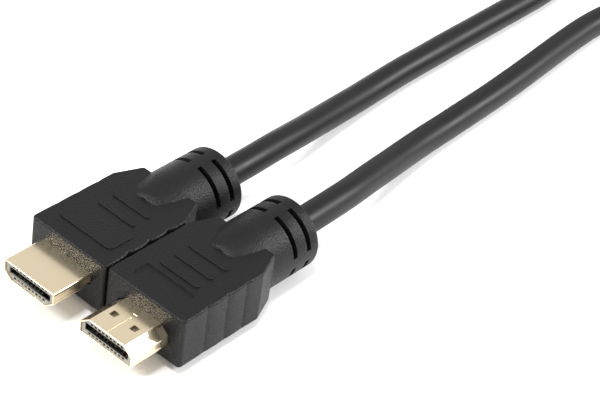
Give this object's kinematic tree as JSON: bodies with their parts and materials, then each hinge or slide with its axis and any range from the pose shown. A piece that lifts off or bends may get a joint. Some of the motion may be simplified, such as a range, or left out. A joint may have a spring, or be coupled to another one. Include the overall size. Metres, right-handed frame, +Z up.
{
  "type": "hdmi cable",
  "caption": "Black audio and video cable: a flat gold-plated metal plug in a moulded grip with a slotted strain relief on each end of a round cord, whose spare length is tied in a hank.",
  "frame": {"origin": "on the surface that the cable lies on, below the middle of the two plugs' common box, cord left out", "axes": "+Y along the plugs, from their metal shells towards the cord; +X from plug A to plug B; +Z up"},
  "size_m": [0.0726, 0.3302, 0.0158],
  "materials": {
    "overmould": "fine spark-textured black moulding",
    "cord_jacket": "smooth satin black jacket",
    "plated_shell": "pale gold plating on formed steel",
    "insulator": "smooth black moulding",
    "contact": "bright gold plating",
    "tie": "satin black"
  },
  "bodies": {
    "root": {"overmould_a": "overmould", "shell_a": "plated_shell", "insulator_a": "insulator", "contact_a_01": "contact", "contact_a_02": "contact", "contact_a_03": "contact", "contact_a_04": "contact", "contact_a_05": "contact", "contact_a_06": "contact", "contact_a_07": "contact", "contact_a_08": "contact", "contact_a_09": "contact", "contact_a_10": "contact", "contact_a_11": "contact", "contact_a_12": "contact", "contact_a_13": "contact", "contact_a_14": "contact", "contact_a_15": "contact", "contact_a_16": "contact", "contact_a_17": "contact", "contact_a_18": "contact", "contact_a_19": "contact", "overmould_b": "overmould", "shell_b": "plated_shell", "insulator_b": "insulator", "contact_b_01": "contact", "contact_b_02": "contact", "contact_b_03": "contact", "contact_b_04": "contact", "contact_b_05": "contact", "contact_b_06": "contact", "contact_b_07": "contact", "contact_b_08": "contact", "contact_b_09": "contact", "contact_b_10": "contact", "contact_b_11": "contact", "contact_b_12": "contact", "contact_b_13": "contact", "contact_b_14": "contact", "contact_b_15": "contact", "contact_b_16": "contact", "contact_b_17": "contact", "contact_b_18": "contact", "contact_b_19": "contact", "cord_a": "cord_jacket", "cord_b": "cord_jacket", "cord_hank": "cord_jacket", "tie_left": "tie", "tie_right": "tie"}
  },
  "joints": []
}
